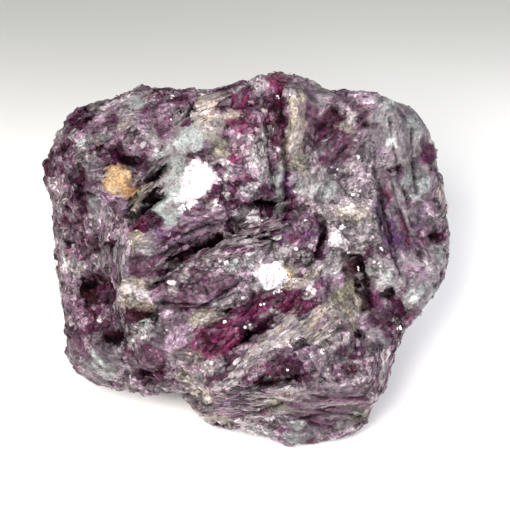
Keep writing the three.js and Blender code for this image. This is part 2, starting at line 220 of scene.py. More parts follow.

# Where the patches of the broad face lie: kind, millimetres across and up from its middle, half
# length, half width and the turn of the long side in degrees. A later patch lies over an
# earlier one.
# Patches of the near-black kind are painted shadow in clefts, hollows and under ledges.
PATCHES = [
    # upper left corner
    ("common", -33, 26, 6, 5, 30), ("lilac", -28, 26.5, 4, 3, 0),
    ("dusky", -30, 23.5, 2.5, 1.8, 0), ("pale", -21.8, 30.6, 4.6, 3, 0),
    ("quartz", -22.4, 31, 2.4, 1.5, 0), ("albite", -24.8, 26.8, 1.6, 1.5, 0),
    ("violet", -20, 26, 1.4, 2, 0), ("mauve", -17, 27, 2.2, 2.2, 0),
    ("cool", -19.4, 23, 1.6, 1.6, 0), ("granular", -17, 31.6, 4.5, 1.6, 5),
    ("pink", -18, 29.2, 4.5, 1.1, 10), ("streaks", -12.8, 29, 3.6, 1.7, 50),
    ("blades", -8, 29.5, 4, 2.4, 30), ("deep", -33.8, 27.8, 2.1, 2.3, 0),
    ("mauve", -27.3, 27.4, 1.7, 1.7, 0), ("pale", -33.5, 21.3, 2.6, 2.4, 0),
    ("burgundy", -30, 21, 1.8, 1.7, 0), ("granular", -36.6, 19.4, 2, 3.6, 0),
    ("pale", -31.6, 17.4, 2.6, 3, 0), ("granular", -35, 17, 2.6, 2.2, -40),
    ("deep", -34.4, 14.2, 2.2, 1.7, 0), ("deep", -34.4, 10.3, 2.4, 1.6, 10),
    ("deep", -31.6, 3.7, 2, 1.8, 0),
    # top middle
    ("granular", -2.5, 26, 6, 6, 0), ("magenta", -2.5, 30.8, 1.8, 2.8, 80),
    ("deep", 0, 27, 2.2, 3, 0), ("albite", -4.2, 27.6, 1.9, 1, 10), ("pink", -1, 20.5, 4, 4.6, 0),
    ("granular", 4.4, 30, 5.6, 2.8, 85), ("magenta", 5, 33.5, 3, 2.2, 80),
    ("granular", 4.3, 22, 3.6, 1.5, 85), ("pale", 2, 19, 5, 1.8, 88),
    # quartz block under it
    ("quartz", -11, 23.4, 5.2, 2.7, 14), ("quartz", -15.2, 15.8, 2.6, 8.5, 0),
    ("quartz", -16.4, 9.1, 3.3, 2.9, 0), ("albite", -8.3, 25.6, 1.5, 1.9, 0),
    ("olive", -5.8, 20.8, 1.5, 2.2, 0), ("dome", -11, 8.6, 3.2, 2, 10),
    ("lilac", -9.5, 7.5, 4, 2, 10), ("granular", -5, 12.5, 4.6, 4.2, -30),
    ("pink", -1.5, 15.7, 4, 1.2, -18), ("pale", 0.5, 12.4, 3.2, 1.3, -8),
    # right of the top
    ("cool", 13, 31, 3.4, 2.4, 0), ("mauve", 11.8, 27, 2.2, 2.4, 0),
    ("common", 12.5, 21, 5, 3, 85), ("albite", 8.6, 27.4, 6, 1.5, 88),
    ("albite", 7.7, 21.5, 2.8, 1.7, 70), ("olive", 9, 18.2, 2, 1.7, 0),
    ("lilac", 18, 30.3, 3, 1.8, 0), ("burgundy", 16.2, 27.8, 2.2, 2.6, 0),
    ("deep", 15.6, 24.2, 3.4, 2.2, 10), ("mauve", 17.4, 20.8, 4.2, 2.9, 15),
    ("pink", 22.3, 30, 3, 2, 0), ("burgundy", 23, 26.2, 1.7, 1.1, 0),
    ("speckle", 22.5, 20.5, 4.5, 1.8, 80), ("albite", 18.6, 26, 0.8, 1.7, 0),
    ("mauve", 3, 13.6, 1.4, 1.6, 0), ("cool", 5.4, 13.6, 4.8, 1.1, 82),
    ("violet", 7.8, 14.6, 1.4, 2.3, 0),
    # right facet
    ("cool", 29, 26, 5.5, 5.5, 60), ("cool", 31, 19.5, 5, 4, 60),
    ("slate", 29.8, 29, 1.3, 1.2, 0), ("deep", 27.5, 17.6, 1.9, 1, 15),
    ("mauve", 34.6, 20.5, 1.4, 3.2, 0), ("cool", 33.2, 15, 2.6, 3.4, 0),
    ("slate", 26, 8.5, 8.5, 2.3, -68), ("violet", 25.5, 13.5, 3.5, 1.6, -68),
    ("slate", 34, 9.3, 2.2, 3, 0), ("cool", 29.6, 10, 6.5, 1.2, -66),
    ("violet", 28.4, 3.4, 3.6, 1.2, -66), ("magenta", 30.9, 4.3, 4, 0.9, -66),
    ("cool", 35.6, 0, 2.4, 4.4, 0), ("burgundy", 35.8, 4.6, 2, 1.5, 0),
    ("night", 35.4, 4.6, 1.5, 1.1, 0), ("slate", 30, -1.4, 4, 2, 80),
    ("lilac", 32.5, -3, 2, 2.4, 0), ("cool", 33, -7.5, 3.6, 2.6, 40),
    ("slate", 33.5, 1, 3.5, 0.8, -60),
    # middle right, pale and speckled
    ("speckle", 18, 13.5, 7, 5, 0), ("albite", 21, 8.2, 3.8, 2.4, -10),
    ("speckle", 18, 4.4, 6.2, 4, 0), ("cool", 12.5, 14, 2.4, 4, 80),
    ("deep", 13.4, 3, 3.6, 1, 80), ("violet", 8.4, 4.6, 3, 2.6, 30),
    ("violet", 9.8, 7.4, 1.6, 1.3, 0), ("albite", 14, -2.6, 3.8, 1.8, 30),
    ("cool", 25.6, -3, 2.6, 3.6, 0), ("pale", 25.2, -1.6, 1.5, 1.9, 0),
    ("smoky", 19.8, 0.2, 2, 1.9, 0), ("smoky", 20.6, -4.2, 5, 2.2, -72),
    ("smoky", 26.6, -7, 1.6, 1.2, 0), ("violet", 14.4, -5.6, 2.6, 1.4, 80),
    ("olive", 18.2, -9.4, 4.6, 2.5, -86), ("mauve", 24.4, -10.6, 2.2, 2.4, 0),
    # lower right edge
    ("granular", 28.4, -12.6, 3.9, 2.4, 80), ("deep", 28.2, -11.4, 2.2, 2, 80),
    ("cool", 24, -15.6, 2.4, 2, 0), ("night", 24.3, -18, 2, 0.9, 0),
    ("deep", 20.8, -16, 2.3, 1.4, 85), ("peppered", 15.8, -17, 5.4, 3, 85),
    ("columns", 25.2, -22, 4.4, 2.5, 85), ("speckle", 19.5, -22.4, 3.2, 2.2, -20),
    ("deep", 19.6, -21.8, 2, 1, -20),
    # middle left
    ("deep", -33.8, 12, 2.6, 3.4, 0), ("cool", -31, 9, 4, 1, 88), ("night", -37, 8.5, 1, 2.2, 0),
    ("granular", -34, 4, 5, 2.4, 85), ("deep", -30, 2.5, 1.7, 1.9, 0),
    ("columns", -28, 2, 10, 1.5, 88), ("columns", -24.8, -3, 10.5, 1.8, 88),
    ("burgundy", -27.3, 2.6, 2.4, 0.7, 88), ("burgundy", -27.6, -4, 2.7, 0.8, 88),
    ("granular", -20.5, 7, 3.2, 2, 10), ("olive", -21.4, 2.4, 2, 2, 0),
    ("violet", -15.6, 4.2, 4, 2.2, 0), ("deep", -14.2, 3.8, 2, 1.4, 10),
    ("lilac", -11.6, 4.6, 2.6, 1.4, 15), ("streaks", -21, 11, 4.4, 2, 40),
    ("streaks", -20, 16, 4.6, 1, 42), ("ochre", -26.2, 14.8, 2.6, 3.3, 0),
    ("pink", -26, 11.7, 2, 0.7, 0), ("deep", -26, 10.6, 2, 0.8, 0),
    ("deep", -26, 19.8, 3.9, 1.9, -18), ("night", -24.4, 19, 1.8, 0.8, -30),
    ("night", -20.2, 14.8, 4.4, 0.75, 42), ("night", -20.9, 10.2, 4.2, 0.9, 36),
    ("blades", -21.4, 12.8, 4.4, 0.5, 42),
    # the middle: the ledge, with painted shadow along its foot, and the domed plate under it
    ("streaks", -1, 4.6, 8, 2.6, 17), ("night", -9, 3, 2.4, 1.3, 20),
    ("streaks", -14, -2, 6.6, 2.2, 27), ("night", -7.2, 4, 2.8, 1, 25),
    ("night", -1, 7.2, 3.4, 0.7, 22), ("night", 2, 10.4, 3, 1.2, 8),
    ("streaks", -16, -1.4, 5.8, 2.3, 30), ("deep", -16.6, -0.8, 4.2, 0.9, 30),
    ("night", -14.5, 0.4, 3.6, 0.6, 27), ("night", -17.4, -2.6, 2.8, 0.9, 32),
    ("night", 4.6, 5.4, 3.4, 0.5, 18), ("silver", 1, 7.4, 1.9, 0.45, -5),
    ("pale", 3.5, 1, 3.6, 1.5, 15), ("pale", -9.6, -4.3, 7.6, 4.7, 10),
    ("dome", -9.8, -5.4, 6.6, 3.5, 10), ("mauve", -8.8, -5.8, 4.8, 1.9, 10),
    ("mauve", -22, -1.6, 2.2, 2.2, 0), ("dusky", -19.8, 1.8, 2.2, 1.5, 0),
    ("albite", -22.6, -6.2, 3.6, 2.8, 0), ("dome", -16.5, -6.6, 3, 3, 0),
    ("burgundy", -22.4, -11, 3, 1.8, 15), ("night", -19.2, -11.8, 1.2, 1.9, 0),
    ("pale", 3.8, -3.4, 4, 4, 0), ("tan", 7.8, -2, 1.3, 0.9, 0), ("albite", 8, -5.4, 2.2, 1.4, 0),
    # Silver patches lie under the cleavage plates; their pale colour is partly painted highlight.
    ("silver", 4, -3.4, 2.8, 2.4, 60), ("silver", -10.6, 15.2, 3.9, 2.8, 78),
    # left and lower left
    ("pale", -35.5, -2.6, 2.8, 2.8, 0), ("deep", -31, -7, 3.6, 4.2, 0),
    ("night", -32, -6.6, 1.6, 2.9, 0), ("granular", -33, -12.8, 3, 4, 80),
    ("mauve", -34, -16.8, 2.6, 4, 80), ("night", -26.6, -15, 2.5, 1.8, 10),
    ("pale", -22, -15, 2.3, 2.3, 0), ("dusky", -29.4, -20.8, 3.4, 4.2, -25),
    ("mauve", -20.6, -19.4, 3, 3, 0), ("deep", -19.6, -23.3, 2.6, 1.7, 0),
    ("dome", -17, -15.6, 2.6, 2.6, 0), ("lilac", -14.8, -17, 4, 2.2, 80),
    # lower middle: magenta mica and long bands of bladed albite
    ("albite", -8.6, -11.4, 3.4, 1.6, 15), ("streaks", -5, -11.2, 2.2, 0.9, 15),
    ("magenta", -7.4, -16, 5.8, 2.9, 35), ("magenta", 2, -9, 5.4, 2, 25),
    ("magenta", 9.4, -9.4, 3.4, 3.4, 20), ("pink", 9.6, -12.4, 1.7, 1.2, 0),
    ("blades", 3, -20, 15, 3.8, 37), ("blades", 6.5, -14.6, 6, 2.3, 32),
    ("night", -0.6, -14.6, 3.8, 0.9, 38), ("blush", -11.4, -24, 6.4, 2.6, -60),
    ("blush", -12.4, -20, 2, 1.7, 0), ("magenta", -7.2, -23.6, 2, 1.2, 40),
    ("columns", -2, -28, 6, 3, 22), ("violet", -4.6, -28, 2.6, 0.8, 25),
    ("streaks", -1.4, -31.6, 3.4, 1.7, 20), ("granular", 5.5, -22, 7, 3.4, 27),
    ("deep", 3.4, -22.6, 3.6, 1.6, 30), ("night", 2.4, -22.8, 2, 0.7, 30),
    ("deep", 8.4, -22.4, 2.4, 2.2, 0), ("pink", 10.8, -18.4, 2.2, 2.4, 0),
    ("violet", 2, -26.2, 2.2, 0.9, 20), ("blades", 6, -26.3, 5, 1.4, 15),
    ("olive", 6.6, -28.4, 4, 2, 12), ("dusky", 7, -31.2, 2.8, 1.8, 0),
    ("layers", 15, -29, 8, 4.3, -3), ("olive", 21, -30.6, 2.2, 2.6, 0),
    ("dusky", 10, -34.6, 3, 1.6, 0),
]


def lattice(corner, seed):
    """A repeatable number from 0 to 1 for each corner of a cubic lattice."""
    mixed = corner @ np.array([73856093, 19349663, 83492791]) + seed * 2654435761
    mixed = ((mixed ^ (mixed >> 13)) * 1274126177) & 0x7FFFFFFF
    return ((mixed ^ (mixed >> 15)) & 0xFFFF) / 0xFFFF


def drift(points, spacing, seed):
    """Smooth noise from -1 to 1 whose swells are that many millimetres apart."""
    scaled = points / spacing
    corner = np.floor(scaled).astype(np.int64)
    part = scaled - corner
    part = part * part * (3 - 2 * part)
    total = np.zeros(len(points))
    for offset in product((0, 1), repeat=3):
        share = np.prod(np.where(offset, part, 1 - part), axis=1)
        total += share * lattice(corner + np.array(offset), seed)
    return 2 * total - 1


def smooth(value, start, end):
    """0 before start, 1 after end, and a smooth step between."""
    t = np.clip((value - start) / (end - start), 0, 1)
    return t * t * (3 - 2 * t)


def face_places(points):
    """Millimetres across, up and out from the middle of the broad face's rim."""
    away = points - np.array(FACE_MIDDLE) * 1000
    return away @ across, away @ up, away @ out


def unit(vectors):
    """The vectors scaled to a length of 1."""
    return vectors / np.maximum(np.linalg.norm(vectors, axis=1, keepdims=True), 1e-9)


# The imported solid's surface, merged and divided finely enough to carry the grains.
bpy.ops.object.select_all(action="DESELECT")
rock = bpy.data.objects.new("broken_rock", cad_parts["lepidolite_rock"].data.copy())
bpy.context.collection.objects.link(rock)
rock.select_set(True)
bpy.context.view_layer.objects.active = rock
bpy.ops.object.mode_set(mode="EDIT")
bpy.ops.mesh.select_all(action="SELECT")
bpy.ops.mesh.remove_doubles(threshold=1e-6)
bpy.ops.object.mode_set(mode="OBJECT")
divide = rock.modifiers.new("divide", "SUBSURF")
divide.levels = divide.render_levels = 2
bpy.ops.object.modifier_apply(modifier=divide.name)
mesh = rock.data
count = len(mesh.vertices)
spots = np.zeros(count * 3)
mesh.vertices.foreach_get("co", spots)
spots = spots.reshape(-1, 3) * 1000
normals = np.zeros(count * 3)
mesh.vertices.foreach_get("normal", normals)
normals = normals.reshape(-1, 3)
areas = np.zeros(len(mesh.polygons))
mesh.polygons.foreach_get("area", areas)
face_corners = np.zeros(len(mesh.polygons) * 4, dtype=int)
mesh.polygons.foreach_get("vertices", face_corners)
face_corners = face_corners.reshape(-1, 4)


def scatter(amount):
    """Random places spread evenly over the surface, in millimetres, and the normals there."""
    faces = rng.choice(len(areas), size=amount, p=areas / areas.sum())
    shares = rng.random((amount, 4)) + 0.05
    shares /= shares.sum(axis=1, keepdims=True)
    corners = face_corners[faces]
    places = (spots[corners] * shares[..., None]).sum(axis=1)
    return places, unit((normals[corners] * shares[..., None]).sum(axis=1))


# Away from the broad face the same kinds of patch lie at random. Common rock is listed twice,
# because there is most of it.
HIDDEN_PATCHES = 170
hidden_kinds = [
    "granular", "pale", "deep", "lilac", "blades", "quartz", "mauve", "layers", "streaks",
    "albite", "common", "cool", "common", "violet", "speckle",
]
hidden_places, _ = scatter(HIDDEN_PATCHES)
hidden_pick = rng.integers(len(hidden_kinds), size=HIDDEN_PATCHES)
hidden_half = rng.uniform(2.5, 7.5, HIDDEN_PATCHES)
hidden_turn = unit(rng.normal(size=(HIDDEN_PATCHES, 3)))
COMMON_FIBRE = cos(radians(30)) * across + sin(radians(30)) * up


def oval_reach(across_mm, up_mm, x, y, length, width, turn):
    """How far each place lies from the middle of an oval on the broad face: 1 is its rim."""
    c, s = cos(radians(turn)), sin(radians(turn))
    dx, dy = across_mm - x, up_mm - y
    return np.hypot((dx * c + dy * s) / length, (dy * c - dx * s) / width)


PATCH_RIM = 1.08  # where an oval's ragged border runs, as its reach
RIM_DEPTH = 4  # millimetres before and behind the widest rim where hidden patches show through


def patches_at(points, facings, raggedness=0.12):
    """For each point, the kind of rock there and the direction that its fibres run in."""
    amount = len(points)
    # The patches' borders wander by up to about a millimetre.
    wander = 0.65 * np.stack([drift(points, 4.5, s) for s in (11, 12, 13)], axis=1)
    wander += 0.4 * np.stack([drift(points, 1.6, s) for s in (14, 15, 16)], axis=1)
    moved = points + wander
    ragged = raggedness * rng.normal(size=amount)
    kind = np.full(amount, ROCK_NAMES.index("common"))
    fibre = np.tile(COMMON_FIBRE, (amount, 1))
    for i in range(HIDDEN_PATCHES):
        away = moved - hidden_places[i]
        along = away @ hidden_turn[i]
        reach = np.sqrt(np.einsum("ij,ij->i", away, away) + 1.5 * along**2) / hidden_half[i]
        inside = reach + ragged < 1
        kind[inside] = ROCK_NAMES.index(hidden_kinds[hidden_pick[i]])
        fibre[inside] = hidden_turn[i]
    u, v, w = face_places(moved)
    front = (facings @ out > -0.05) & (w > -RIM_DEPTH)
    common = front & (w > RIM_DEPTH)
    kind[common] = ROCK_NAMES.index("common")
    fibre[common] = COMMON_FIBRE
    for name, x, y, length, width, turn in PATCHES:
        reach = oval_reach(u, v, x, y, length, width, turn)
        inside = front & (reach + ragged < PATCH_RIM)
        kind[inside] = ROCK_NAMES.index(name)
        fibre[inside] = cos(radians(turn)) * across + sin(radians(turn)) * up
    return kind, fibre


def draw_minerals(kind):
    """A mineral for each grain, drawn from the shares of its kind of rock."""
    pick = rng.random(len(kind))
    mineral = np.zeros(len(kind), dtype=int)
    for k, name in enumerate(ROCK_NAMES):
        words = ROCKS[name][0].split()
        shares = np.cumsum([float(word) for word in words[1::2]])
        numbers = np.array([MINERAL_NAMES.index(word) for word in words[::2]])
        here = kind == k
        mineral[here] = numbers[np.searchsorted(shares / shares[-1], pick[here])]
    return mineral


def make_grains(amount):
    """Scattered grains, each with its place, direction, rock, mineral, height and tilt."""
    place, facing = scatter(amount)
    kind, fibre = patches_at(place, facing)
    fibre = fibre + 0.15 * rng.normal(size=fibre.shape)
    fibre -= facing * np.einsum("ij,ij->i", fibre, facing)[:, None]
    tilt = unit(np.cross(facing, rng.normal(size=(amount, 3))))
    return {
        "place": place,
        "fibre": unit(fibre),
        "kind": kind,
        "mineral": draw_minerals(kind),
        "tilt": tilt * rng.uniform(0, 1, (amount, 1)),
        "height": rng.normal(size=amount).clip(-1.6, 1.6),
        "shade": rng.normal(size=amount),
    }


def nearest_grains(grains, places, near):
    """For each place its own grain, its next one, how far inside its own it lies, and where.

    The grain is picked from the given number of near ones, since long grains reach further.
    """
    tree = kdtree.KDTree(len(grains["place"]))
    for i, place in enumerate(grains["place"]):
        tree.insert(place, i)
    tree.balance()
    found = np.array([[i for _, i, _ in tree.find_n(p, near)] for p in places])
    away = places[:, None] - grains["place"][found]
    along = np.einsum("ijk,ijk->ij", away, grains["fibre"][found])
    beside = np.einsum("ijk,ijk->ij", away, away) - along**2
    stretch = STRETCH[grains["kind"][found]]
    reach = np.sqrt(along**2 / stretch + np.maximum(beside, 0) * stretch)
    order = np.argsort(reach, axis=1)
    rows = np.arange(len(places))
    first, second = order[:, 0], order[:, 1]
    inside = reach[rows, second] - reach[rows, first]
    return found[rows, first], found[rows, second], inside, away[rows, first]


books, grains, flecks = (make_grains(amount) for amount in (BOOKS, GRAINS, FLECKS))
book_of, book_next, in_book, from_book = nearest_grains(books, spots, 9)
grain_of, grain_next, in_grain, from_grain = nearest_grains(grains, spots, 10)
fleck_of, fleck_next, in_fleck, from_fleck = nearest_grains(flecks, spots, 10)

# A fleck is often a splinter of the grain round it.
owner, _, _, _ = nearest_grains(grains, flecks["place"], 6)
splinter = (rng.random(FLECKS) < 0.45) & (grains["kind"][owner] == flecks["kind"])
flecks["mineral"][splinter] = grains["mineral"][owner[splinter]]

# Narrow clefts on the broad face, where blocks have parted: both ends across and up, half
# width and depth, in millimetres.
CLEFTS = [
    (-24.8, 8.7, -16.8, 17.4, 0.6, 1.5), (-24, 7.5, -17.5, 12, 0.7, 1.3),
    (-19.5, -4.5, -9, 3, 0.5, 0.8), (-9, 3, 6.5, 9.8, 0.7, 1.5), (-5, 2.8, 5, 6.3, 0.4, 0.8),
    (-4, -17, 3, -12, 0.5, 1.2), (13.2, 0, 14, 7, 0.5, 0.9), (-25.8, 5, -26, -12, 0.4, 0.8),
    (-29.5, 6, -29.5, -2, 0.4, 0.7), (5, 35, 6.8, 12, 0.5, 0.9), (24, 18, 29, -3, 0.35, 0.25),
    (30, 14, 34, -2, 0.4, 0.7), (-14, -10, -2, -6.5, 0.4, 0.7), (7.5, -18, 14, -14.5, 0.4, 0.7),
    (-9, -27, 12, -22, 0.35, 0.6), (9, -32, 22, -30, 0.35, 0.5), (16, 19, 22, 26, 0.35, 0.5),
    (20.5, 0, 23.5, -9, 0.5, 0.9), (-18.5, -8.6, -9, -8.4, 0.35, 0.6),
    (-9, -8.4, -2.4, -4.8, 0.35, 0.6),
    # fine cracks along the ledges and between the blades
    (-18, 0.6, -8.5, 4.6, 0.3, 0.6), (-13.5, 4.4, -3, 7.6, 0.3, 0.6), (-6, 1.6, 4, 6.4, 0.3, 0.6),
    (-2, 9.4, 6.4, 11.4, 0.35, 0.7), (0, 3.6, 7, 7.6, 0.28, 0.5),
    (-20, -5.8, -12.6, -1.4, 0.3, 0.5), (-24.6, 6.4, -20, 9.4, 0.3, 0.6),
    (-22.6, 13.6, -17.4, 19.2, 0.28, 0.5), (-9, -29.4, 4, -24.4, 0.28, 0.5),
    (0, -30.6, 10, -27, 0.28, 0.5), (11.6, -27, 23, -27.6, 0.28, 0.4),
    (10.6, -29.4, 23, -32, 0.25, 0.4), (11, -32.6, 20, -34, 0.25, 0.4),
    (25, -17, 24.4, -26, 0.28, 0.5), (27.6, -16.6, 26.4, -25, 0.28, 0.5),
    (27, 27.6, 28.8, 17, 0.3, 0.5), (31.6, 25.6, 32.6, 13, 0.3, 0.5),
    (27.6, 14.6, 32.6, 1, 0.3, 0.6), (24.6, 10, 28.4, -1.6, 0.3, 0.5),
    (-33, 22.4, -27.8, 23.4, 0.3, 0.5), (-37, 13, -31, 12.4, 0.28, 0.5),
    (-38, 6.6, -31.4, 7.4, 0.28, 0.5), (-12.4, 30.4, -9, 26.8, 0.3, 0.6),
    (-14.8, 30, -11.4, 26.6, 0.3, 0.6), (2.6, 26, 4.2, 13, 0.3, 0.5),
]
DOME = (-9.8, -5.2, 7.6, 4.6, 10)  # middle across and up, half length, half width and turn
DOME_RISE = 1.0
kind, fibre = patches_at(spots, normals, 0.05)
streak = FIBRE[kind]
# Fibres lie flat to the broad face; elsewhere they run their own way.
beside = unit(np.cross(fibre, np.where((normals @ out > 0.1)[:, None], out, hidden_turn[0])))
through = np.cross(fibre, beside)
# Where a point lies along, beside and through the fibres, in millimetres.
weave = np.stack([np.einsum("ij,ij->i", spots, way) for way in (fibre, beside, through)], axis=1)
stripes = drift(weave / (7, 1, 1), 0.85, 31)
fine_stripes = drift(weave / (6, 1, 1), 0.45, 32)
u, v, _ = face_places(spots)


def on_tilt(away, grains, own):
    """How far each place is raised by its grain's tilted face."""
    return np.einsum("ij,ij->i", away, grains["tilt"][own])


# Millimetres that grains of each size stand out by, and the slope of their tilted faces.
BOOK_RISE, GRAIN_RISE, FLECK_RISE = 0.26, 0.16, 0.05
BOOK_SLOPE, GRAIN_SLOPE, FLECK_SLOPE = 0.22, 0.30, 0.22
relief = RELIEF[kind]
steps = BOOK_RISE * books["height"][book_of] + GRAIN_RISE * grains["height"][grain_of]
height = relief * steps
height += relief * BOOK_SLOPE * on_tilt(from_book, books, book_of)
fine = relief * GRAIN_SLOPE * on_tilt(from_grain, grains, grain_of)
fine += relief * FLECK_SLOPE * on_tilt(from_fleck, flecks, fleck_of)
fine += relief * FLECK_RISE * flecks["height"][fleck_of]
height += fine * (1 - 0.6 * np.exp(-((normals @ out / 0.35) ** 2)))  # worn round at the rim
# The gaps between grains: how far inside its grain a place is, the gap's depth and half width.
for inside, depth, half in ((in_book, 0.35, 0.7), (in_grain, 0.22, 0.4), (in_fleck, 0.06, 0.25)):
    height -= relief * depth * (1 - smooth(inside, 0, half))
height += streak * (0.2 * stripes + 0.08 * fine_stripes)
front = smooth(normals @ out, 0.2, 0.5)
cleft_shade = np.ones(count)
bend = drift(spots, 3.0, 21)
for x0, y0, x1, y1, half, depth in CLEFTS:
    ex, ey = x1 - x0, y1 - y0
    along = np.clip(((u - x0) * ex + (v - y0) * ey) / (ex * ex + ey * ey), 0, 1)
    off = np.hypot(u - x0 - along * ex, v - y0 - along * ey) + (0.2 + 0.5 * half) * bend
    cut = front * np.exp(-((off / half) ** 2))
    height -= depth * cut
    # Painted shade: the colour darkens along each cleft.
    cleft_shade *= 1 - 0.8 * cut
# A domed book of mica stands out under the middle ledge.
edge = PATCH_RIM - oval_reach(u, v, *DOME) - 0.12 * bend
height += DOME_RISE * front * smooth(edge, 0, 0.3)
height *= 0.25 + 0.75 * smooth(spots[:, 2], 0, 1.5)  # worn flat where the lump rests
moved = spots + normals * height[:, None]
moved[:, 2] = np.maximum(moved[:, 2], 0)
mesh.vertices.foreach_set("co", (moved / 1000).ravel())
mesh.update()
broken_normals = np.zeros(count * 3)
mesh.vertices.foreach_get("normal", broken_normals)
broken_normals = broken_normals.reshape(-1, 3)

# Colours: partly the book's, partly the grain's and partly the fleck's, blending where two meet.
BOOK_SHARE = 0.36
colours = np.array([linear(MINERALS[n][0])[:3] for n in MINERAL_NAMES])
gloss, shine = (np.array([MINERALS[n][i] for n in MINERAL_NAMES]) for i in (1, 2))


def grain_colours(grains, spread):
    """Each grain's own colour: its mineral's, lighter or darker by a little."""
    return colours[grains["mineral"]] * np.exp(spread * grains["shade"])[:, None]


def blended(values, own, other, inside, width):
    """A grain's value, shading into its neighbour's at their border."""
    share = (0.5 + 0.5 * smooth(inside, 0, width))[:, None]
    return values[own] * share + values[other] * (1 - share)


fleck_share = (0.12 + 0.22 * relief.clip(0, 1))[:, None]
own_colour = blended(grain_colours(grains, 0.19), grain_of, grain_next, in_grain, 0.3)
fleck_colour = blended(grain_colours(flecks, 0.4), fleck_of, fleck_next, in_fleck, 0.2)
book_colour = blended(grain_colours(books, 0.15), book_of, book_next, in_book, 0.3)
same = (books["kind"][book_of] == kind)[:, None]
rock_colour = (1 - BOOK_SHARE - fleck_share) * own_colour + fleck_share * fleck_colour
rock_colour += BOOK_SHARE * np.where(same, book_colour, own_colour)
rock_colour *= 1.03 * np.exp(0.06 * books["shade"][book_of])[:, None]
rock_colour *= np.exp(streak * (0.42 * stripes + 0.3 * fine_stripes))[:, None]
# Near the grains' borders the colour is made paler in some places; in others the gaps between
# grains are painted dark, as shade.
shaded_gap_share = smooth(drift(spots, 4, 41), -0.3, 0.5)
broken = relief.clip(0, 1)
pale_rim = broken * (1 - shaded_gap_share) * (1 - smooth(in_grain, 0.03, 0.3))
pale_rim *= 1 - 0.8 * (kind == ROCK_NAMES.index("night"))
rock_colour += pale_rim[:, None] * (0.8 * rock_colour + 0.02)
# Painted shade: the colour darkens in the gaps between books and grains, and along the clefts.
gap_shade = cleft_shade * (1 - 0.68 * broken * shaded_gap_share * (1 - smooth(in_book, 0, 0.5)))
gap_shade *= 1 - 0.5 * broken * shaded_gap_share * (1 - smooth(in_grain, 0, 0.3))
rock_colour *= gap_shade[:, None]
rock_colour = np.clip(rock_colour, 0, 0.93)


def paint(mesh, name, kind, values):
    """Store one value for each corner point of a mesh under a name."""
    layer = mesh.attributes.new(name, kind, "POINT")
    key = {"FLOAT_COLOR": "color", "FLOAT_VECTOR": "vector", "FLOAT": "value"}[kind]
    layer.data.foreach_set(key, np.ascontiguousarray(values, dtype=np.float32).ravel())


paint(mesh, "tint", "FLOAT_COLOR", np.hstack([rock_colour, np.ones((count, 1))]))
at_vertex = flecks["mineral"][fleck_of]
paint(mesh, "gloss", "FLOAT", gloss[at_vertex])
# The painted shade in gaps and clefts lowers the shine there too.
paint(mesh, "shine", "FLOAT", shine[at_vertex] * gap_shade**2)
paint(mesh, "brokenness", "FLOAT", smooth(relief, 0.15, 0.7))
drawn_out = np.stack([1 + 3.5 * streak**2, np.ones(count), np.ones(count)], axis=1)
paint(mesh, "weave", "FLOAT_VECTOR", weave / drawn_out)
mesh.polygons.foreach_set("use_smooth", np.ones(len(mesh.polygons), dtype=bool))

# Broken mica rock: pearly, with cleavage faces and lines finer than the meshed grains.
broken_mica, tree = new_material("broken lepidolite rock")
tint = node(tree, "ShaderNodeAttribute", attribute_name="tint").outputs["Color"]
rough = node(tree, "ShaderNodeAttribute", attribute_name="gloss").outputs["Fac"]
shiny = node(tree, "ShaderNodeAttribute", attribute_name="shine").outputs["Fac"]
weave_place = node(tree, "ShaderNodeAttribute", attribute_name="weave").outputs["Vector"]
brokenness = node(tree, "ShaderNodeAttribute", attribute_name="brokenness").outputs["Fac"]
wander = node(
    tree, "ShaderNodeTexNoise", {"Scale": 1 / 0.9, "Detail": 2}, {"Vector": weave_place}
)
bent_place = node(
    tree, "ShaderNodeVectorMath", {1: (0.35, 0.35, 0.35)},
    {0: wander.outputs["Color"], 2: weave_place}, operation="MULTIPLY_ADD",
).outputs["Vector"]
splinters = node(
    tree, "ShaderNodeTexNoise", {"Scale": 1 / 0.5, "Detail": 3, "Roughness": 0.65},
    {"Vector": weave_place},
)
facing = node(tree, "ShaderNodeNewGeometry").outputs["Normal"]
shade = node(
    tree, "ShaderNodeMapRange",
    {"From Min": 0.32, "From Max": 0.68, "To Min": 0.48, "To Max": 1.52},
    {"Value": splinters.outputs["Fac"]},
).outputs["Result"]
tone = node(
    tree, "ShaderNodeVectorMath", links={0: tint, "Scale": shade}, operation="SCALE"
).outputs["Vector"]
# Small cleavage faces: each is a shade lighter or darker and tilted its own way. Their width in
# millimetres, contrast and tilt.
CLEAVAGE_FACES = ((2.3, 0.35, 0.25), (1.0, 0.4, 0.4), (0.45, 0.6, 0.65))
for face_size, contrast, tilt in CLEAVAGE_FACES:
    cells = node(
        tree, "ShaderNodeTexVoronoi", {"Scale": 1 / face_size}, {"Vector": bent_place}
    ).outputs["Color"]
    own_shade = node(
        tree, "ShaderNodeMapRange", {"To Min": 1 - contrast, "To Max": 1 + contrast},
        {"Value": node(tree, "ShaderNodeSeparateXYZ", links={0: cells}).outputs["X"]},
    ).outputs["Result"]
    own_shade = node(
        tree, "ShaderNodeMath", links={0: own_shade, 1: brokenness}, operation="POWER"
    ).outputs["Value"]
    tone = node(
        tree, "ShaderNodeVectorMath", links={0: tone, "Scale": own_shade}, operation="SCALE"
    ).outputs["Vector"]
    lean = node(
        tree, "ShaderNodeVectorMath", {1: (0.5, 0.5, 0.5)}, {0: cells}, operation="SUBTRACT"
    ).outputs["Vector"]
    lean = node(
        tree, "ShaderNodeVectorMath", links={0: lean, "Scale": brokenness}, operation="SCALE"
    ).outputs["Vector"]
    facing = node(
        tree, "ShaderNodeVectorMath", {1: (tilt, tilt, tilt)}, {0: lean, 2: facing},
        operation="MULTIPLY_ADD",
    ).outputs["Vector"]
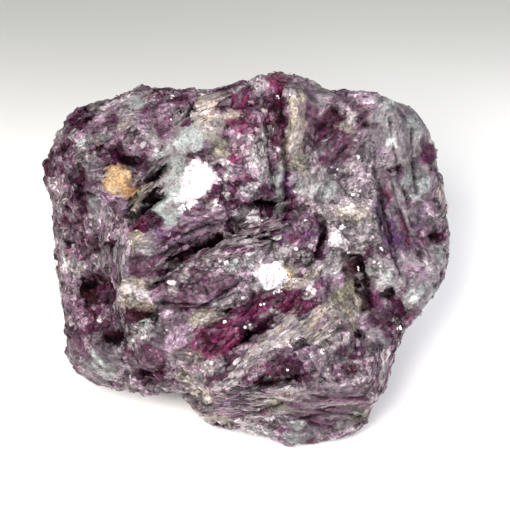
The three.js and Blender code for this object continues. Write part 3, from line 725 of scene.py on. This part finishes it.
# Thin lines between the faces: painted dark, as shade in the cracks, in some places, and paler
# in others. The faces' width and the lines', in millimetres.
FACE_LINES = ((2.3, 0.2), (1.0, 0.12))
region = node(
    tree, "ShaderNodeTexNoise", {"Scale": 1 / 3, "Detail": 1}, {"Vector": weave_place}
).outputs["Fac"]
line_strength = node(
    tree, "ShaderNodeMapRange",
    {"From Min": 0.42, "From Max": 0.58, "To Min": -0.7, "To Max": 0.5}, {"Value": region},
).outputs["Result"]
line_strength = node(
    tree, "ShaderNodeMath", links={0: line_strength, 1: brokenness}, operation="MULTIPLY"
).outputs["Value"]
for face_size, line_width in FACE_LINES:
    edge = node(
        tree, "ShaderNodeTexVoronoi", {"Scale": 1 / face_size}, {"Vector": bent_place},
        feature="DISTANCE_TO_EDGE",
    ).outputs["Distance"]
    line = node(
        tree, "ShaderNodeMapRange",
        {"From Min": 0.02, "From Max": line_width / face_size, "To Min": 1.0, "To Max": 0.0},
        {"Value": edge},
    ).outputs["Result"]
    line_shade = node(
        tree, "ShaderNodeMath", {2: 1.0}, {0: line, 1: line_strength}, operation="MULTIPLY_ADD"
    ).outputs["Value"]
    tone = node(
        tree, "ShaderNodeVectorMath", links={0: tone, "Scale": line_shade}, operation="SCALE"
    ).outputs["Vector"]
facing = node(
    tree, "ShaderNodeVectorMath", links={0: facing}, operation="NORMALIZE"
).outputs["Vector"]
bump = node(
    tree, "ShaderNodeBump", {"Strength": 0.5, "Distance": 0.0001},
    {"Height": splinters.outputs["Fac"], "Normal": facing},
)
shader = node(
    tree, "ShaderNodeBsdfPrincipled", {"IOR": 1.56},
    {
        "Base Color": tone, "Roughness": rough, "Specular IOR Level": shiny,
        "Normal": bump.outputs["Normal"],
    },
)
node(tree, "ShaderNodeOutputMaterial", links={"Surface": shader.outputs[0]})
mesh.materials.clear()
mesh.materials.append(broken_mica)
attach(rock, "root")
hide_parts("lepidolite_rock")

# --- Mica flakes -----------------------------------------------------------------------------
# Thin plates and small stacks of lepidolite that stand proud of the broken rock, where its books
# were split along their layers. Each lies along the layers of the rock round it, a little tilted.
LILAC_FLAKES = 2800
DARK_FLAKES = 2400
FLAKE_LEAN = 5  # degrees, the mean
CLEAR_OF_TABLE = 1.4  # millimetres above the table top where the lowest of them lie
vertex_area = np.zeros(count)
mesh.polygons.foreach_get("area", areas)
np.add.at(vertex_area, face_corners.ravel(), np.repeat(areas, 4) / 4)
level = unit(normals + broken_normals)


def choose_spots(minerals, amount):
    """Random surface points of those minerals, spread evenly over them."""
    wanted = np.isin(at_vertex, [MINERAL_NAMES.index(m) for m in minerals])
    wanted &= (moved[:, 2] > CLEAR_OF_TABLE) & (in_book > 0.2) & (cleft_shade > 0.8)
    weight = vertex_area * wanted * relief**1.5  # flat kinds of rock split into few flakes
    return rng.choice(count, size=amount, p=weight / weight.sum(), replace=False)


def lean_out(facing, mean_lean):
    """Directions that lean away from the surface's own by a random angle."""
    lean = np.radians(rng.exponential(mean_lean, len(facing)).clip(0, 14))
    aside = unit(np.cross(facing, rng.normal(size=facing.shape)))
    return facing * np.cos(lean)[:, None] + aside * np.sin(lean)[:, None]


def build_plates(name, place, facing, grain, length, width, thick, colour, shines, corners=6):
    """One mesh of thin irregular plates: their middles, faces, long sides and half sizes."""
    amount = len(place)
    grain = unit(grain - facing * np.einsum("ij,ij->i", grain, facing)[:, None])
    aside = np.cross(facing, grain)
    turn = 2 * np.pi * (np.arange(corners) + rng.uniform(-0.35, 0.35, (amount, corners))) / corners
    reach = rng.uniform(0.62, 1.15, (amount, corners))
    x = (reach * np.cos(turn) * length[:, None])[..., None] * grain[:, None]
    y = (reach * np.sin(turn) * width[:, None])[..., None] * aside[:, None]
    rise = (facing * thick[:, None])[:, None]
    outline = place[:, None] + x + y
    points = np.concatenate([outline + rise, outline - rise], axis=1).reshape(-1, 3)
    ring = np.arange(corners)
    following = (ring + 1) % corners
    sides = np.stack([ring + corners, following + corners, following, ring], axis=1)
    faces = []
    for start in range(0, amount * 2 * corners, 2 * corners):
        faces.append(tuple(start + ring))
        faces.append(tuple(start + corners + ring[::-1]))
        faces.extend(map(tuple, start + sides))
    plate_mesh = bpy.data.meshes.new(name)
    plate_mesh.from_pydata((points / 1000).tolist(), [], faces)
    tints = np.repeat(np.hstack([colour, np.ones((amount, 1))]), 2 * corners, axis=0)
    paint(plate_mesh, "tint", "FLOAT_COLOR", tints)
    paint(plate_mesh, "shine", "FLOAT", np.repeat(shines, 2 * corners))
    piece = bpy.data.objects.new(name, plate_mesh)
    bpy.context.collection.objects.link(piece)
    return piece


def mineral_flakes(name, minerals, amount, radius):
    """Flakes of some minerals, every fifth one with two more layers stacked under it."""
    chosen = choose_spots(minerals, amount)
    facing = lean_out(level[chosen], FLAKE_LEAN)
    grain = fibre[chosen] + 0.3 * rng.normal(size=(amount, 3))
    half = radius * np.exp(0.45 * rng.normal(size=amount)).clip(0.4, 1.8)
    width = half * rng.uniform(0.35, 0.8, amount)
    thick = rng.uniform(0.03, 0.07, amount)
    colour = 0.2 * colours[at_vertex[chosen]] + 0.85 * rock_colour[chosen]
    colour = np.clip(colour * np.exp(0.24 * rng.normal(size=amount))[:, None], 0, 0.9)
    place = moved[chosen] + broken_normals[chosen] * rng.uniform(-0.03, 0.04, (amount, 1))
    shines = shine[at_vertex[chosen]] * rng.uniform(0.5, 1.8, amount)
    layers = [(place, facing, grain, half, width, thick, colour, shines)]
    stacked = np.arange(amount) % 5 == 0
    # Each stacked layer is painted darker, as shade under the plate above.
    for depth in (1, 2):
        drop = -facing[stacked] * (thick[stacked] * 2.2 * depth)[:, None]
        slip = 0.2 * rng.normal(size=(stacked.sum(), 3))
        grow = 1 + 0.12 * depth
        layers.append((
            place[stacked] + drop + slip, facing[stacked], grain[stacked], half[stacked] * grow,
            width[stacked] * grow, thick[stacked], colour[stacked] * (1 - 0.15 * depth),
            shines[stacked],
        ))
    joined = [np.concatenate(part) for part in zip(*layers)]
    return build_plates(name, *joined)


def mottled_tint(tree, spacing, detail, darkest, lightest):
    """The stored tint under soft clouds that many metres apart, and the clouds themselves."""
    tint = node(tree, "ShaderNodeAttribute", attribute_name="tint").outputs["Color"]
    clouds = node(
        tree, "ShaderNodeTexNoise", {"Scale": 1 / spacing, "Detail": detail},
        {"Vector": node(tree, "ShaderNodeTexCoord").outputs["Object"]},
    ).outputs["Fac"]
    lighter = node(
        tree, "ShaderNodeMapRange",
        {"From Min": 0.3, "From Max": 0.7, "To Min": darkest, "To Max": lightest},
        {"Value": clouds},
    ).outputs["Result"]
    shaded = node(
        tree, "ShaderNodeVectorMath", links={0: tint, "Scale": lighter}, operation="SCALE"
    ).outputs["Vector"]
    return shaded, clouds


# Cleaved mica: pearly and smooth, so that a flake turned to the light flashes.
cleaved_mica, tree = new_material("cleaved lepidolite mica")
shiny = node(tree, "ShaderNodeAttribute", attribute_name="shine").outputs["Fac"]
shaded, ripples = mottled_tint(tree, 0.0007, 2, 0.75, 1.25)
bump = node(
    tree, "ShaderNodeBump", {"Strength": 0.25, "Distance": 0.0001}, {"Height": ripples}
)
shader = node(
    tree, "ShaderNodeBsdfPrincipled", {"IOR": 1.58, "Roughness": 0.22},
    {
        "Base Color": shaded, "Normal": bump.outputs["Normal"],
        "Specular IOR Level": shiny,
    },
)
node(tree, "ShaderNodeOutputMaterial", links={"Surface": shader.outputs[0]})

lilac_flakes = mineral_flakes(
    "lilac_mica_flakes", ("lilac", "mauve", "white"), LILAC_FLAKES, 0.5
)
dark_flakes = mineral_flakes(
    "dark_mica_flakes", ("plum", "magenta", "violet", "burgundy", "slate"), DARK_FLAKES, 0.43
)
for piece in (lilac_flakes, dark_flakes):
    piece.data.materials.append(cleaved_mica)
    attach(piece, "root")

# --- Albite blades ---------------------------------------------------------------------------
# Narrow laths of creamy albite and grey quartz splinters, lying side by side in bands that run
# through the mica.
BLADES = 4200
BLADE_LEAN = 4  # degrees, the mean
BLADE_DEPTH = 0.02  # millimetres that a blade's middle is sunk
fibrous = vertex_area * (streak > 0.85) * (moved[:, 2] > CLEAR_OF_TABLE) * (in_book > 0.15)
# No blades on the near-black painted shadow.
fibrous *= at_vertex != MINERAL_NAMES.index("night")
chosen = rng.choice(count, size=BLADES, p=fibrous / fibrous.sum(), replace=False)
facing = lean_out(level[chosen], BLADE_LEAN)
grain = fibre[chosen] + 0.08 * rng.normal(size=(BLADES, 3))
half = 0.8 * np.exp(0.4 * rng.normal(size=BLADES)).clip(0.4, 1.7)
width = rng.uniform(0.12, 0.32, BLADES)
thick = rng.uniform(0.04, 0.08, BLADES)
colour = 0.2 * colours[at_vertex[chosen]] + 0.85 * rock_colour[chosen]
colour = np.clip(colour * np.exp(0.22 * rng.normal(size=BLADES))[:, None], 0, 0.9)
sunk = moved[chosen] - broken_normals[chosen] * BLADE_DEPTH
blades = build_plates(
    "albite_blades", sunk, facing, grain, half, width, thick, colour, shine[at_vertex[chosen]]
)
# Cleaved albite: white to cream, dull to glassy.
albite, tree = new_material("bladed albite")
shiny = node(tree, "ShaderNodeAttribute", attribute_name="shine").outputs["Fac"]
shaded, _ = mottled_tint(tree, 0.0012, 3, 0.8, 1.2)
shader = node(
    tree, "ShaderNodeBsdfPrincipled", {"IOR": 1.53, "Roughness": 0.42},
    {"Base Color": shaded, "Specular IOR Level": shiny},
)
node(tree, "ShaderNodeOutputMaterial", links={"Surface": shader.outputs[0]})
blades.data.materials.append(albite)
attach(blades, "root")

# --- Silver cleavage plates ------------------------------------------------------------------
# Where a large mica book split cleanly, its layers lie flat together and flash white. Each is
# a ragged cluster of thin overlapping plates that all face the same way.
# Middle across and up, half length, half width and turn of each, in millimetres and degrees.
MIRRORS = [
    (-10.6, 15.2, 4.1, 3, 78), (-14.5, 11.8, 1, 0.8, 0), (-13, 9.6, 1.6, 0.8, 25),
    (4, -3.4, 3, 2.6, 60), (5, -6.2, 1.6, 0.7, 30), (16.3, 3.6, 1.7, 1, 80),
    (17.6, 6.2, 1.2, 0.5, 20), (24.2, -0.8, 0.8, 0.6, 0), (5.1, 31.2, 0.5, 0.5, 0),
    (22.9, 30.6, 0.7, 0.3, 0), (28.5, -13.6, 0.8, 0.7, 0), (1, 7.5, 1.7, 0.35, 0),
    (16.8, 17.6, 0.5, 0.3, 20), (-33.8, -20, 0.6, 0.4, 0), (-0.8, -13.2, 0.7, 0.4, 30),
    (2.2, -8.8, 0.7, 0.3, 20), (-5.4, -12.2, 0.6, 0.4, 0), (7, -21.6, 0.5, 0.4, 0),
    (13.8, -18, 0.5, 0.5, 0), (19.8, 12.6, 0.6, 0.4, 40), (21, -2, 0.4, 0.4, 0),
    (-5, -0.8, 0.5, 0.4, 0), (-16, 26.8, 0.5, 0.3, 0), (20.8, 20, 0.4, 0.5, 0),
    (25.3, 2, 0.5, 0.4, 0), (19, 1, 0.4, 0.3, 0),
]
PLATES_PER_AREA = 11  # for a cluster of one square millimetre of half length by half width
OUT_OF_REACH = 9
key_way = (bpy.data.objects["key"].location - FACE_MIDDLE).normalized()
flash = np.array((key_way + OUT).normalized())
u, v, _ = face_places(moved)
picked, spread = [], []
for x, y, length, width, turn in MIRRORS:
    reach = oval_reach(u, v, x, y, length, width, turn)
    reach[normals @ out < 0.2] = OUT_OF_REACH  # on the far sides
    here = np.flatnonzero(reach < 0.85)
    if len(here) == 0:
        here = np.argsort(reach)[:3]
    plates = 2 + int(PLATES_PER_AREA * length * width)
    picked.append(rng.choice(here, size=plates))
    spread.append(np.full(plates, min(0.9, 0.25 + 0.3 * width)))
chosen, spread = np.concatenate(picked), np.concatenate(spread)
amount = len(chosen)
facing = unit(flash + 0.11 * rng.normal(size=(amount, 3)))
# The plates' pale silver colour is partly painted highlight; their flash comes from the key light.
mirrors = build_plates(
    "silver_mica_plates", moved[chosen] + (0.12 + 0.04 * rng.normal(size=(amount, 1))) * flash,
    facing, rng.normal(size=(amount, 3)), rng.uniform(0.4, 1.1, amount) * spread,
    rng.uniform(0.3, 0.8, amount) * spread, rng.uniform(0.04, 0.07, amount),
    np.clip(colours[MINERAL_NAMES.index("silver")] * rng.uniform(0.75, 1, (amount, 1)), 0, 0.95),
    np.full(amount, 0.5),
)
# Silvery mica: flat clean layers, so that the light comes back nearly white and a little soft.
silver_mica, tree = new_material("silvery cleaved mica")
tint = node(tree, "ShaderNodeAttribute", attribute_name="tint").outputs["Color"]
shader = node(
    tree, "ShaderNodeBsdfPrincipled", {"IOR": 1.58, "Roughness": 0.28}, {"Base Color": tint}
)
node(tree, "ShaderNodeOutputMaterial", links={"Surface": shader.outputs[0]})
mirrors.data.materials.append(silver_mica)
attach(mirrors, "root")
